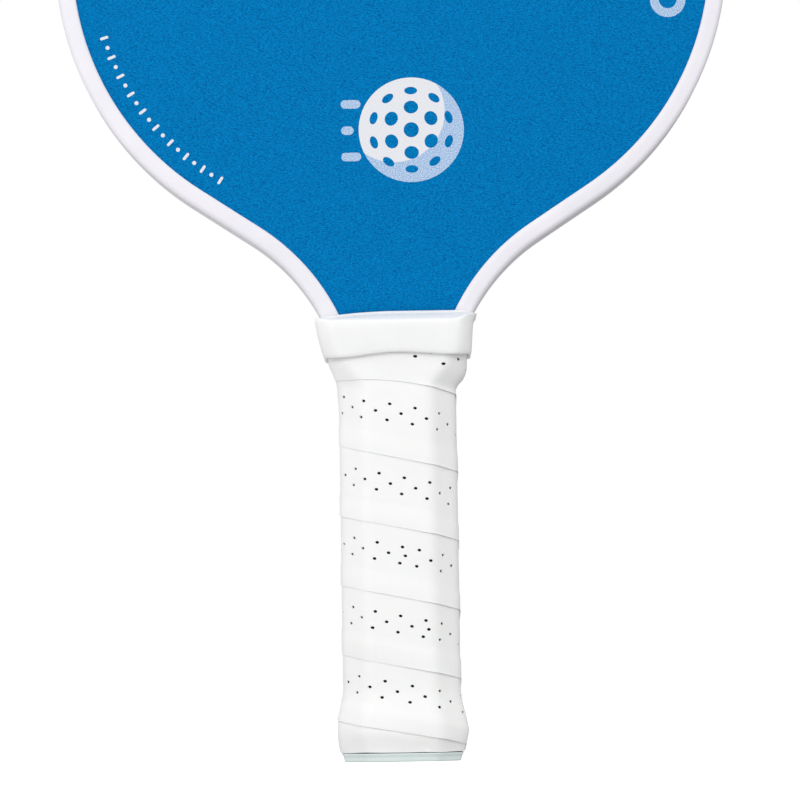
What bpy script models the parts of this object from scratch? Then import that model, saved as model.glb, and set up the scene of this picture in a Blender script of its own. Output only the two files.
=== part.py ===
"""A pickleball paddle, upright on its butt: +Z up the handle, the front face towards -Y.

A honeycomb panel runs the whole length: it is the blade, and its tongue is the middle of the
handle. Two moulded half shells, a butt cap, a cushion sleeve, a wound grip tape and a rubber
collar build the handle up round the tongue, and a channel of soft plastic guards the edge.
"""

import math

import bmesh
import bpy
from mathutils import Vector

MM = 0.001

# ---- driving dimensions, in millimetres ---------------------------------------------------
LENGTH = 406.4  # butt to crown, 16 in
WIDTH = 203.2  # 8 in

# The outline of the blade, outside the edge guard, is a chain of arcs on each side.
SHOULDER_X, SHOULDER_Z = 12.3, 243.1  # centre of the lower shoulder arc
SHOULDER_R = WIDTH / 2 - SHOULDER_X
SIDE_R = 1800.0  # the sides bow a little
CORNER_R = 60.0
CROWN_R = 480.0
THROAT_X, THROAT_Z, THROAT_R = 76.7, 106.2, 60.5  # the hollow curve into the handle

# The layers of the panel, as half thicknesses; the gaps are glue lines.
BOND = 0.1
CORE_Y = 6.1
SCRIM = 0.25
SKIN = 0.55
SCRIM_Y = CORE_Y + BOND
SKIN_Y = SCRIM_Y + SCRIM + BOND
PANEL_Y = SKIN_Y + SKIN

# Edge guard and the tape that bonds it.
GUARD_WEB = 1.5
GUARD_LIP = 5.3  # how far in from the outline the lip reaches
GUARD_LIP_T = 0.9
GUARD_ROUND = 1.3
GUARD_END_Z = 117.0
GUARD_Y = PANEL_Y + BOND + GUARD_LIP_T
BOND_TAPE_T = 0.3
PANEL_INSET = GUARD_WEB + BOND + BOND_TAPE_T + BOND

# Honeycomb cells, across flats, at about twice the pitch of the usual 8 mm stock.
CELL_PITCH = 19.0
CELL_WALL = 0.8
CELL_MARGIN = 2.0

TONGUE_X = 13.2
TONGUE_Z = 3.2
TONGUE_TOP_Z = 111.0

# Handle: the seat that the grip tape is wound on is an octagon whose size changes with height.
# Each station is height, half width, half depth, chamfer width, chamfer depth.
STATIONS = (
    (2.6, 17.9, 14.3, 7.6, 6.8),
    (9.0, 19.1, 15.4, 7.9, 7.1),
    (22.0, 16.95, 13.3, 7.2, 6.4),
    (111.5, 16.95, 13.3, 7.2, 6.4),
    (120.5, 20.2, 13.3, 5.0, 4.7),
    (131.0, 21.0, 13.1, 4.6, 4.3),
)
CORNER_CUT = 1.5  # how far from each corner of the octagon its rounding starts

CUSHION = 1.0  # thickness of the cushion sleeve
SHELL_INSET = CUSHION + 2 * BOND
SHELL_FOOT_Z, SHELL_TOP_Z = 2.8, 131.0
SHELL_WALL_X = TONGUE_X + 1.5 * BOND

BUTT_PLATE = 2.5
BUTT_TOP_Z = 22.0
SKIRT = 0.9  # the cap's skirt at its top, let into a rebate round the shells

TAPE_W = 25.2  # width of the grip tape, which laps over its own last turn
TAPE_PITCH = 20.8
TAPE_T, TAPE_EDGE_T = 0.6, 0.25
TAPE_SKIVE = 4.0  # the edges are thinned over this width
TAPE_FOOT_Z, TAPE_TOP_Z = 2.65, 124.5
SEAM_Z = 7.5  # a seam crosses the middle of the front face at this height
RING_STEPS = 24
TAPE_RISE_STEPS = 12

BINDING_Z = (122.6, 126.0)
BINDING = 0.2

COLLAR_DROP = 1.7  # its edges hang lower at the sides than in the middle
COLLAR_Z = (122.4, 132.3, 135.3)  # foot, front edge and lip, in the middle

STAPLE_Z, STAPLE_HALF, STAPLE_LEG, STAPLE_WIRE = 13.0, 5.0, 4.6, 0.6

COLOURS = {
    "core": (0.82, 0.84, 0.85, 0.6, 0.0),
    "scrim": (0.90, 0.90, 0.88, 0.9, 0.0),
    "skin": (0.0, 0.19, 0.50, 0.55, 0.0),
    "guard": (0.85, 0.84, 0.88, 0.35, 0.0),
    "bond": (0.75, 0.72, 0.62, 0.6, 0.0),
    "shell": (0.20, 0.20, 0.21, 0.6, 0.0),
    "cushion": (0.03, 0.03, 0.03, 0.9, 0.0),
    "grip": (0.90, 0.90, 0.89, 0.6, 0.0),
    "binding": (0.80, 0.80, 0.82, 0.4, 0.0),
    "collar": (0.88, 0.88, 0.86, 0.5, 0.0),
    "butt": (0.62, 0.74, 0.72, 0.3, 0.0),
    "staple": (0.60, 0.60, 0.62, 0.3, 1.0),
}


# ---- scene, materials and small helpers ----------------------------------------------------
def clear_scene():
    for obj in list(bpy.data.objects):
        bpy.data.objects.remove(obj)


def collection(name):
    made = bpy.data.collections.new(name)
    bpy.context.scene.collection.children.link(made)
    return made


def material(name):
    found = bpy.data.materials.get(name)
    if found:
        return found
    red, green, blue, roughness, metallic = COLOURS[name]
    made = bpy.data.materials.new(name)
    made.use_nodes = True
    shader = made.node_tree.nodes["Principled BSDF"]
    shader.inputs["Base Color"].default_value = (red, green, blue, 1.0)
    shader.inputs["Roughness"].default_value = roughness
    shader.inputs["Metallic"].default_value = metallic
    return made


def place(obj, group, paint):
    group.objects.link(obj)
    if paint:
        obj.data.materials.append(material(paint))
    else:
        obj.hide_render = True
        obj.display_type = "WIRE"
    return obj


def subtract(obj, cutter):
    cut = obj.modifiers.new("cut " + cutter.name, "BOOLEAN")
    cut.operation = "DIFFERENCE"
    cut.solver = "EXACT"
    cut.object = cutter


def loft(name, group, paint, sections, cyclic=False):
    """A skin through sections of equal point count, closed by caps or, if cyclic, on itself."""
    mesh = bpy.data.meshes.new(name)
    shape = bmesh.new()
    rings = [[shape.verts.new(Vector(p) * MM) for p in section] for section in sections]
    count = len(rings[0])
    pairs = list(zip(rings, rings[1:]))
    if cyclic:
        pairs.append((rings[-1], rings[0]))
    else:
        shape.faces.new(rings[0])
        shape.faces.new(rings[-1])
    for low, high in pairs:
        for i in range(count):
            j = (i + 1) % count
            shape.faces.new((low[i], low[j], high[j], high[i]))
    bmesh.ops.recalc_face_normals(shape, faces=shape.faces)
    if shape.calc_volume(signed=True) < 0:
        bmesh.ops.reverse_faces(shape, faces=shape.faces)
    shape.to_mesh(mesh)
    shape.free()
    mesh.shade_smooth()
    mesh.set_sharp_from_angle(angle=math.radians(35))
    return place(bpy.data.objects.new(name, mesh), group, paint)


def flat_shape(name, group, paint, outlines, y_low, y_high):
    """Closed outlines in the XZ plane, filled and extruded from y_low to y_high; inner ones are holes."""
    curve = bpy.data.curves.new(name, "CURVE")
    curve.dimensions = "2D"
    curve.fill_mode = "BOTH"
    curve.extrude = (y_high - y_low) / 2 * MM
    for outline in outlines:
        spline = curve.splines.new("POLY")
        spline.points.add(len(outline) - 1)
        for point, (x, z) in zip(spline.points, outline):
            point.co = (x * MM, z * MM, 0, 1)
        spline.use_cyclic_u = True
    obj = bpy.data.objects.new(name, curve)
    obj.rotation_euler = (math.pi / 2, 0, 0)
    obj.location = (0, (y_low + y_high) / 2 * MM, 0)
    return place(obj, group, paint)


def as_mesh(obj, group, paint):
    """The object's evaluated shape as a welded mesh object in its place, so that it can be cut."""
    bpy.context.view_layer.update()
    graph = bpy.context.evaluated_depsgraph_get()
    mesh = bpy.data.meshes.new_from_object(obj.evaluated_get(graph))
    shape = bmesh.new()
    shape.from_mesh(mesh)
    bmesh.ops.remove_doubles(shape, verts=shape.verts, dist=1e-6)
    bmesh.ops.recalc_face_normals(shape, faces=shape.faces)
    shape.to_mesh(mesh)
    shape.free()
    name, matrix = obj.name, obj.matrix_world.copy()
    bpy.data.objects.remove(obj)
    made = bpy.data.objects.new(name, mesh)
    made.matrix_world = matrix
    made.data.materials.clear()
    return place(made, group, paint)


# ---- the blade's outline ---------------------------------------------------------------------
def arc(centre, radius, start, end, steps):
    """Points from the start angle to the end angle, both in degrees and both included."""
    found = []
    for i in range(steps + 1):
        angle = math.radians(start + (end - start) * i / steps)
        found.append((centre[0] + radius * math.cos(angle), centre[1] + radius * math.sin(angle)))
    return found


def corner_centre():
    """Centre of the top corner arc, which touches both the side arc and the crown arc."""
    side = Vector((WIDTH / 2 - SIDE_R, SHOULDER_Z))
    crown = Vector((0, LENGTH - CROWN_R))
    to_side, to_crown = SIDE_R - CORNER_R, CROWN_R - CORNER_R
    apart = crown - side
    along = (to_side**2 - to_crown**2 + apart.length_squared) / (2 * apart.length)
    across = math.sqrt(to_side**2 - along**2)
    direction = apart.normalized()
    return side + direction * along + Vector((-direction.y, direction.x)) * across


def half_outline(inset=0.0, end_z=GUARD_END_Z):
    """Right-hand side of the blade, from the throat at end_z up to the crown's middle point.

    The arcs keep their centres at any inset, so equal places in two outlines lie opposite.
    """
    shoulder, throat = Vector((SHOULDER_X, SHOULDER_Z)), Vector((THROAT_X, THROAT_Z))
    side = Vector((WIDTH / 2 - SIDE_R, SHOULDER_Z))
    crown = Vector((0, LENGTH - CROWN_R))
    corner = corner_centre()
    apart = throat - shoulder
    lean = math.acos((SHOULDER_R + THROAT_R) / apart.length)
    tangent = math.degrees(math.atan2(apart.y, apart.x) + lean)
    side_end = math.degrees(math.atan2(corner.y - side.y, corner.x - side.x))
    crown_start = math.degrees(math.atan2(corner.y - crown.y, corner.x - crown.x))
    throat_radius = THROAT_R + inset
    throat_start = 180 - math.degrees(math.asin((end_z - THROAT_Z) / throat_radius))
    return (
        arc(throat, throat_radius, throat_start, tangent + 180, 9)
        + arc(shoulder, SHOULDER_R - inset, tangent, 0, 13)
        + arc(side, SIDE_R - inset, 0, side_end, 5)[1:]
        + arc(corner, CORNER_R - inset, side_end, crown_start, 11)[1:]
        + arc(crown, CROWN_R - inset, crown_start, 90, 4)[1:]
    )


def whole(half):
    """A right-hand outline joined to its mirror image, the point on the middle line used once."""
    return half + [(-x, z) for x, z in reversed(half[:-1])]


def panel_half(inset):
    """Blade and tongue: the outline inside the guard, carried down the handle to the butt."""
    return [(TONGUE_X, TONGUE_Z), (TONGUE_X, TONGUE_TOP_Z)] + half_outline(inset)


# ---- the blade ----------------------------------------------------------------------------------
def inside(x, z, half, margin):
    """Whether the point lies inside the outline, at least margin from it."""
    points = whole(half)
    within = False
    nearest = math.inf
    for (ax, az), (bx, bz) in zip(points, points[1:] + points[:1]):
        if (az > z) != (bz > z) and x < (bx - ax) * (z - az) / (bz - az) + ax:
            within = not within
        run = (bx - ax) ** 2 + (bz - az) ** 2
        share = max(0.0, min(1.0, ((x - ax) * (bx - ax) + (z - az) * (bz - az)) / run))
        away = math.hypot(x - ax - share * (bx - ax), z - az - share * (bz - az))
        nearest = min(nearest, away)
    return within and nearest >= margin


def cells(half):
    """Hexagons on a staggered grid, kept where the whole cell lies inside the panel."""
    radius = (CELL_PITCH - CELL_WALL) / math.sqrt(3)
    row_rise = CELL_PITCH * math.sqrt(3) / 2
    found = []
    for row in range(int(LENGTH / row_rise) + 1):
        z = row * row_rise
        shift = CELL_PITCH / 2 if row % 2 else 0.0
        columns = range(-int(WIDTH / CELL_PITCH), int(WIDTH / CELL_PITCH) + 1)
        for x in (column * CELL_PITCH + shift for column in columns):
            corners = arc((x, z), radius, 30, 330, 5)
            if all(inside(cx, cz, half, CELL_MARGIN) for cx, cz in corners):
                found.append(corners)
    return found


def build_panel(parts):
    half = panel_half(PANEL_INSET)
    outline = whole(half)
    flat_shape("honeycomb_core", parts, "core", [outline] + cells(half), -CORE_Y, CORE_Y)
    layers = (("scrim", "scrim", SCRIM_Y, SCRIM), ("face_sheet", "skin", SKIN_Y, SKIN))
    for side, sign in (("front", -1), ("back", 1)):
        for layer, paint, near, thick in layers:
            low, high = sorted((sign * near, sign * (near + thick)))
            flat_shape(f"{side}_{layer}", parts, paint, [outline], low, high)


def guard_profile():
    """Half of the guard's channel as (inset from the outline, y), from the web's middle outside to inside."""
    inner_y = PANEL_Y + BOND
    corner = arc((GUARD_ROUND, GUARD_Y - GUARD_ROUND), GUARD_ROUND, 180, 90, 2)
    lip_edge = [(GUARD_LIP - 0.4, GUARD_Y - 0.15), (GUARD_LIP, GUARD_Y - 0.45), (GUARD_LIP, inner_y)]
    return corner + lip_edge + [(GUARD_WEB, inner_y)]


def swept(name, group, paint, profile):
    """A profile of (inset, y) points carried round the blade's outline from one end to the other."""
    around = [whole(half_outline(inset)) for inset, _ in profile]
    stations = range(len(around[0]))
    sections = [[(line[i][0], y, line[i][1]) for line, (_, y) in zip(around, profile)] for i in stations]
    return loft(name, group, paint, sections)


def build_edge(parts):
    half = guard_profile()
    swept("edge_guard", parts, "guard", half + [(inset, -y) for inset, y in reversed(half)])
    low, high = GUARD_WEB + BOND, GUARD_WEB + BOND + BOND_TAPE_T
    swept("edge_tape", parts, "bond", [(low, CORE_Y), (high, CORE_Y), (high, -CORE_Y), (low, -CORE_Y)])


# ---- the handle's octagon --------------------------------------------------------------------------
def size_at(z):
    """Half width, half depth, chamfer width and chamfer depth of the grip's seat at height z."""
    z = min(max(z, STATIONS[0][0]), STATIONS[-1][0])
    for low, high in zip(STATIONS, STATIONS[1:]):
        if z <= high[0]:
            share = (z - low[0]) / (high[0] - low[0])
            share = share * share * (3 - 2 * share)
            return [a + (b - a) * share for a, b in zip(low[1:], high[1:])]
    return list(STATIONS[-1][1:])


def octagon(size, grow=0.0):
    """The octagon grown outwards by grow, as RING_STEPS points anticlockwise from +X, corners rounded."""
    half_x, half_y, chamfer_x, chamfer_y = size
    slope = math.hypot(chamfer_x, chamfer_y)
    nx, ny = chamfer_y / slope, chamfer_x / slope
    reach = nx * half_x + ny * (half_y - chamfer_y) + grow
    wide, deep = half_x + grow, half_y + grow
    side = (wide, (reach - nx * wide) / ny)
    front = ((reach - ny * deep) / nx, deep)
    quarter = [side, front]
    corners = quarter + [(-x, y) for x, y in reversed(quarter)]
    corners += [(-x, -y) for x, y in quarter] + [(x, -y) for x, y in reversed(quarter)]
    found = []
    for i, corner in enumerate(corners):
        here = Vector(corner)
        before = (Vector(corners[i - 1]) - here).normalized() * CORNER_CUT
        after = (Vector(corners[(i + 1) % len(corners)]) - here).normalized() * CORNER_CUT
        found += [here + before, here + (before + after) * 0.25, here + after]
    return [(p.x, p.y) for p in found]


def ring(z, grow=0.0, size=None):
    return [(x, y, z) for x, y in octagon(size or size_at(z), grow)]


def handle_heights(low, high):
    """Heights where a loft along the handle needs a section: its ends and where the octagon changes."""
    steps = [low, high]
    for start, end in zip(STATIONS, STATIONS[1:]):
        if start[1:] != end[1:]:
            steps += [start[0] + (end[0] - start[0]) * k / 5 for k in range(6)]
    return sorted({round(z, 3) for z in steps if low <= z <= high})


# ---- the handle's pieces ------------------------------------------------------------------------------
def half_section(z, sign, inset):
    """The shell's outside at height z, on one side of the middle plane."""
    size = size_at(max(z, BUTT_TOP_Z))
    points = [(x, y) for x, y in octagon(size, -inset) if y > 0]
    edge = points[0][0]
    split = BOND / 2
    return [(x, sign * y, z) for x, y in [(edge, split), *points, (-edge, split)]]


def build_shells(parts, cutters):
    panel_space = [(SHELL_WALL_X, -TONGUE_Z), (SHELL_WALL_X, TONGUE_TOP_Z)] + half_outline(PANEL_INSET - BOND)
    guard_space = half_outline(-GUARD_LIP, GUARD_END_Z - 2 * BOND)
    spaces = []
    for name, half, half_y in (
        ("panel_space", panel_space, PANEL_Y + BOND),
        ("guard_space", guard_space, GUARD_Y + 2 * BOND),
    ):
        outline = flat_shape(name, cutters, None, [whole(half)], -half_y, half_y)
        spaces.append(as_mesh(outline, cutters, None))
    for side, sign in (("front", -1), ("back", 1)):
        rebate = SHELL_INSET + SKIRT + BOND
        step_z = BUTT_TOP_Z + BOND
        sections = [half_section(z, sign, rebate) for z in (SHELL_FOOT_Z, step_z - BOND / 2)]
        sections += [half_section(z, sign, SHELL_INSET) for z in handle_heights(step_z, SHELL_TOP_Z)]
        shell = loft(f"handle_shell_{side}", parts, "shell", sections)
        for space in spaces:
            subtract(shell, space)


def build_butt_cap(parts):
    foot = [value - drop for value, drop in zip(size_at(TAPE_FOOT_Z), (0.6, 0.6, 0.2, 0.2))]
    inner = size_at(BUTT_TOP_Z)
    cavity = -SHELL_INSET - SKIRT
    sections = [
        ring(0.0, -0.3, foot),
        ring(0.4, 0.0, foot),
        ring(BUTT_PLATE - 0.1, 0.6),
        ring(BUTT_PLATE, 0.55),
        *[ring(z, -SHELL_INSET) for z in handle_heights(BUTT_PLATE, BUTT_TOP_Z)],
        ring(BUTT_TOP_Z, cavity, inner),
        ring(BUTT_PLATE, cavity, inner),
    ]
    return loft("butt_cap", parts, "butt", sections)


def build_cushion(parts):
    heights = handle_heights(BUTT_PLATE + BOND, STATIONS[3][0])
    sections = [ring(z, -BOND) for z in heights] + [ring(z, -BOND - CUSHION) for z in reversed(heights)]
    return loft("cushion_sleeve", parts, "cushion", sections, cyclic=True)


def staple_path(sign):
    """A staple's wire, from one leg's point over the crown to the other's."""
    crown = size_at(STAPLE_Z)[1] - SHELL_INSET - STAPLE_WIRE / 2 - BOND
    right = [(STAPLE_HALF, sign * crown, STAPLE_Z), (STAPLE_HALF, sign * (crown - STAPLE_LEG), STAPLE_Z)]
    return [(-x, y, z) for x, y, z in reversed(right)] + right


def wire(name, group, paint, points, radius):
    curve = bpy.data.curves.new(name, "CURVE")
    curve.dimensions = "3D"
    curve.bevel_depth = radius * MM
    curve.bevel_resolution = 1
    curve.use_fill_caps = True
    spline = curve.splines.new("POLY")
    spline.points.add(len(points) - 1)
    for knot, point in zip(spline.points, points):
        knot.co = (*(Vector(point) * MM), 1)
    return place(bpy.data.objects.new(name, curve), group, paint)


def build_staples(parts, cutters, held):
    for side, sign in (("front", -1), ("back", 1)):
        path = staple_path(sign)
        wire(f"butt_staple_{side}", parts, "staple", path, STAPLE_WIRE / 2)
        for i, (start, end) in enumerate(zip(path, path[1:])):
            space = slot_box(f"staple_space_{side}_{i}", cutters, start, end, sign)
            for obj in held[side]:
                subtract(obj, space)


def slot_box(name, cutters, start, end, sign):
    """A box round one straight of a staple, a little larger all round, and open outwards on the crown."""
    gap = STAPLE_WIRE / 2 + 0.2
    low = [min(a, b) - gap for a, b in zip(start, end)]
    high = [max(a, b) + gap for a, b in zip(start, end)]
    if sign > 0:
        high[1] += 2.0
    else:
        low[1] -= 2.0
    mesh = bpy.data.meshes.new(name)
    shape = bmesh.new()
    bmesh.ops.create_cube(shape, size=MM)
    centre = [(a + b) / 2 * MM for a, b in zip(low, high)]
    bmesh.ops.scale(shape, vec=[b - a for a, b in zip(low, high)], verts=shape.verts)
    bmesh.ops.translate(shape, vec=centre, verts=shape.verts)
    shape.to_mesh(mesh)
    shape.free()
    return place(bpy.data.objects.new(name, mesh), cutters, None)


# ---- the wound grip ------------------------------------------------------------------------------------
def smooth(share):
    share = min(max(share, 0.0), 1.0)
    return share * share * (3 - 2 * share)


def tape_edges(turn):
    """Heights of the tape's lower and upper edge, trimmed level at the butt and under the collar."""
    low = SEAM_Z + (turn - 0.25) * TAPE_PITCH
    return max(low, TAPE_FOOT_Z), min(low + TAPE_W, TAPE_TOP_Z)


def tape_levels(z, low, high, under, over):
    """How far the tape's inner and outer side stand off the seat at height z."""
    edge_near = min(z - low, high - z)
    thick = TAPE_EDGE_T + (TAPE_T - TAPE_EDGE_T) * smooth(edge_near / TAPE_SKIVE)
    below = TAPE_EDGE_T + (TAPE_T - TAPE_EDGE_T) * smooth((under - z) / TAPE_SKIVE)
    clear = 1.0 - smooth((z - under - 0.3) / 0.9)
    inner = BOND + (below + BOND) * over * clear
    return inner, inner + thick


def tape_section(step, first):
    """One cross-section of the tape: up its inner side and down its outer side."""
    turn = step / RING_STEPS
    low, high = tape_edges(turn)
    under = tape_edges(turn - 1)[1]
    over = smooth((turn - (first + 1) + 0.12) / 0.08)  # it lies on the turn below from here on
    heights = [low + (high - low) * k / TAPE_RISE_STEPS for k in range(TAPE_RISE_STEPS + 1)]
    levels = [(z, *tape_levels(z, low, high, under, over)) for z in heights]
    profile = [(z, inner) for z, inner, _ in levels] + [(z, outer) for z, _, outer in reversed(levels)]
    index = (-step) % RING_STEPS
    return [(*octagon(size_at(z), grow)[index], z) for z, grow in profile]


def build_tape(parts):
    first, last = -0.55, (TAPE_TOP_Z - SEAM_Z) / TAPE_PITCH + 0.05
    steps = range(round(first * RING_STEPS), round(last * RING_STEPS) + 1)
    return loft("grip_tape", parts, "grip", [tape_section(s, first) for s in steps])


def build_binding(parts):
    low, high = BINDING_Z
    base = BOND + TAPE_T + 2 * BOND + TAPE_EDGE_T
    levels = [(low, base), (low, base + BINDING), (high, base + BINDING), (high, base)]
    return loft("finishing_tape", parts, "binding", [ring(z, grow) for z, grow in levels], cyclic=True)


def collar_ring(z, half_x, half_y, chamfer_x=4.4, chamfer_y=4.2):
    points = octagon((half_x, half_y, chamfer_x, chamfer_y))
    return [(x, y, z - COLLAR_DROP * (x / half_x) ** 2) for x, y in points]


def build_collar(parts):
    foot, edge, lip = COLLAR_Z
    sections = [
        collar_ring(foot, 21.8, 15.0),
        collar_ring(foot, 22.6, 15.9),
        collar_ring(edge, 24.5, 15.5),
        collar_ring(lip, 24.3, 9.6, 2.4, 1.6),
        collar_ring(lip, 23.1, 8.6, 2.0, 1.2),
        collar_ring(edge - 0.9, 23.1, 13.0),
        collar_ring(edge - 2.0, 22.9, 14.8),
    ]
    return loft("grip_collar", parts, "collar", sections, cyclic=True)


def main():
    clear_scene()
    parts = collection("pickleball_paddle")
    cutters = collection("cutters")
    build_panel(parts)
    build_edge(parts)
    build_shells(parts, cutters)
    cap = build_butt_cap(parts)
    build_cushion(parts)
    shells = {side: bpy.data.objects[f"handle_shell_{side}"] for side in ("front", "back")}
    build_staples(parts, cutters, {side: (cap, shells[side]) for side in shells})
    build_tape(parts)
    build_binding(parts)
    build_collar(parts)


main()
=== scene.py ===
"""The looks of a pickleball paddle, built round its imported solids.

It stands upright on its butt, +Z up, its front face towards -Y. Shapes are worked out in
millimetres and turned into metres when a mesh is made. The blade, the guard, the wound grip
tape and the collar follow the same arcs and stations as the solids do, drawn more finely.
"""

import math

import bmesh
import bpy
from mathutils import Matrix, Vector, noise


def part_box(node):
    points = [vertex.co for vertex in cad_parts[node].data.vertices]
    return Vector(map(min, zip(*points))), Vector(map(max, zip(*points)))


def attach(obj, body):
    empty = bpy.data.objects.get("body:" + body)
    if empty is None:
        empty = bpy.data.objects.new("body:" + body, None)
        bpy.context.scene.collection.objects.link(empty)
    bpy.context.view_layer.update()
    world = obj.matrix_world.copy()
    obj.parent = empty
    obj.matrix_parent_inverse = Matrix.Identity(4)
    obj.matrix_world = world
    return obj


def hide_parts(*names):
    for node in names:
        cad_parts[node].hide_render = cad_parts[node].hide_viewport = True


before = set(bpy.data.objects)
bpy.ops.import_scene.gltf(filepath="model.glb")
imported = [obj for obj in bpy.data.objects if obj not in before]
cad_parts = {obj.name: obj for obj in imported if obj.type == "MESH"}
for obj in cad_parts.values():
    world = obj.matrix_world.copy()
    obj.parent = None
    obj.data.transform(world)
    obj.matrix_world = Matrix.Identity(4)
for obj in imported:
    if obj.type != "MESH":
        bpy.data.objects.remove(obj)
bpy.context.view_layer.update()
MM = 0.001


def node_box(name):
    """A solid's lowest and highest corner in millimetres."""
    low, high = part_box(name)
    return low / MM, high / MM


# ---- sizes, in millimetres -----------------------------------------------------------------------
GUARD_LOW, GUARD_HIGH = node_box("edge_guard")
FACE_Y = node_box("back_face_sheet")[1].y
LENGTH = GUARD_HIGH.z
WIDTH = GUARD_HIGH.x * 2

# The blade's outline outside the guard, as arcs.
SHOULDER_X, SHOULDER_Z = 12.3, 243.1
SHOULDER_R = WIDTH / 2 - SHOULDER_X
SIDE_R, CORNER_R, CROWN_R = 1800.0, 60.0, 480.0
THROAT_X, THROAT_Z, THROAT_R = 76.7, 106.2, 60.5

GUARD_WEB, GUARD_LIP, GUARD_ROUND, GUARD_GAP = 1.5, 5.3, 1.5, 0.1
GUARD_Y = GUARD_HIGH.y
GUARD_END_Z = GUARD_LOW.z

# The seat of the grip tape, an octagon: height, half width, half depth, chamfer width and depth.
STATIONS = (
    (2.6, 17.9, 14.3, 7.6, 6.8),
    (9.0, 19.1, 15.4, 7.9, 7.1),
    (22.0, 16.95, 13.3, 7.2, 6.4),
    (111.5, 16.95, 13.3, 7.2, 6.4),
    (120.5, 20.2, 13.3, 5.0, 4.7),
    (131.0, 21.0, 13.1, 4.6, 4.3),
)
SEAT_ROUND = 3.6
GIRTH = 109.0  # round the handle, over the tape
RING_POINTS = 96  # points in one ring round the handle

# Grip tape. A seam's height is where the tape's lower edge crosses the middle of the front face.
TAPE_W, TAPE_T, TAPE_EDGE_T = 25.2, 0.6, 0.2
TAPE_SKIVE = 5.0
TAPE_GAP = 0.1
TAPE_FOOT_Z, TAPE_TOP_Z = 2.65, 124.5
TAPE_FIRST, TAPE_LAST = -0.34, 6.65  # in turns; whole turns are at the middle of the front
SEAMS = ((-1.0, -33.0), (0.0, -12.0), (1.0, 8.8), (2.0, 28.4), (3.0, 49.1), (4.0, 69.9), (5.0, 90.7),
         (5.78, 109.1), (5.9, 111.95), (5.99, 113.6), (6.06, 114.3), (6.22, 114.9), (7.0, 128.0))
TAPE_PITCH = 20.8
TAPE_LEAN = math.atan(TAPE_PITCH / GIRTH)

# Punched holes: pairs and single holes take turns along the tape, in runs of so many pairs. The
# tape is pulled tighter near the butt, so its holes are further apart there.
CELL_S, CELL_T = 1.342, 1.225
CELL_PULL = 0.076
PAIR_STEP = 6
PUNCH_RUNS = (30, 15, 7, 12, 5, 13, 20)
HOLE_LONG, HOLE_ACROSS = 0.67, 0.50
HOLE_SIDES = 8
# The rings of a hole: whether on the tape's outer side, size and how far sunk.
HOLE_RINGS = ((True, 1.0, 0.0), (True, 0.88, 0.10), (False, 0.85, 0.0))
BAND_ROWS = 6  # rows of cells on each side of the band's middle row
EDGE_ROWS = (0.0, 0.25, 0.8)  # rows along the lower edge, and the same along the upper one
# How far the middle of the punched band lies above the tape's lower edge, by turn.
BAND = ((-1.0, 11.7), (1.0, 11.6), (2.0, 12.3), (4.0, 12.4), (4.98, 13.2), (5.12, 12.3), (5.3, 12.2),
        (5.85, 9.4), (6.05, 11.6), (8.0, 11.6))

COLLAR_FOOT_Z, COLLAR_EDGE_Z, COLLAR_LIP_Z = 122.4, 132.3, 135.2
COLLAR_POINTS = 144
SCALLOP_LEFT, SCALLOP_RIGHT = (0.6, 1.2), (0.0, 0.9)  # how low the foot hangs: side, corner

CAP_RIM_Z, CAP_TOP_Z, CAP_ROUND = 2.6, 22.0, 1.7
SKIRT_OUTER, SKIRT_INNER = -1.2, -2.1  # how far the cap's skirt stands off the seat
SLEEVE_FOOT_Z, SLEEVE_WALL, SLEEVE_ROUND, SLEEVE_STEP = 2.7, 1.0, 0.3, 2.7

# Printed marks.
OVAL_POINTS, PILL_END_STEPS = 20, 8
INK_Y = 0.03  # thickness of the ink
INK_GAP = 0.005  # between the ink and the face
BALL_X, BALL_Z, BALL_R = 5.4, 190.2, 15.9
BALL_HOLE_R = 2.3  # the hole in the middle
# The other holes: distance from the middle, count, first angle, half length, half width.
BALL_HOLES = ((6.9, 6, 30, 2.2, 1.95), (11.9, 10, 18, 1.95, 1.15))
LIT_X, LIT_Z, LIT_R = -5.2, 5.6, 15.4  # the ball's lit part: its middle, from the ball's, and radius
TRAILS = ((8.0, 3.0), (0.0, 1.9), (-8.0, 3.0))  # height over the ball's middle, half length
TRAIL_R, TRAIL_GAP = 1.3, 1.5
RIM_INSET = GUARD_LIP + 5.6
RIM_LOW_Z, RIM_HIGH_Z, RIM_COUNT = 175.7, 219.5, 19
RIM_DOT_R, RIM_BAR_HALF, RIM_BAR_R = 0.62, 1.3, 0.42
RING_X, RING_Z, RING_R = 83.6, 228.7, 5.4  # the lowest of the side's rings
RING_COUNT, RING_SHRINK, RING_GAP = 7, 0.84, 4.2


# ---- mesh helpers --------------------------------------------------------------------------------
def smooth(share):
    """0 to 1 along an S-shaped curve."""
    share = min(max(share, 0.0), 1.0)
    return share * share * (3 - 2 * share)


def hump(at, middle, width):
    """A bell curve, 1 at its middle."""
    return math.exp(-(((at - middle) / width) ** 2))


def finish_object(name, mesh, paint, angle=40):
    """A piece that rides on the root, shaded smooth but for edges sharper than the angle."""
    mesh.shade_smooth()
    mesh.set_sharp_from_angle(angle=math.radians(angle))
    obj = bpy.data.objects.new(name, mesh)
    bpy.context.scene.collection.objects.link(obj)
    obj.data.materials.append(paint)
    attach(obj, "root")
    return obj


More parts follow.
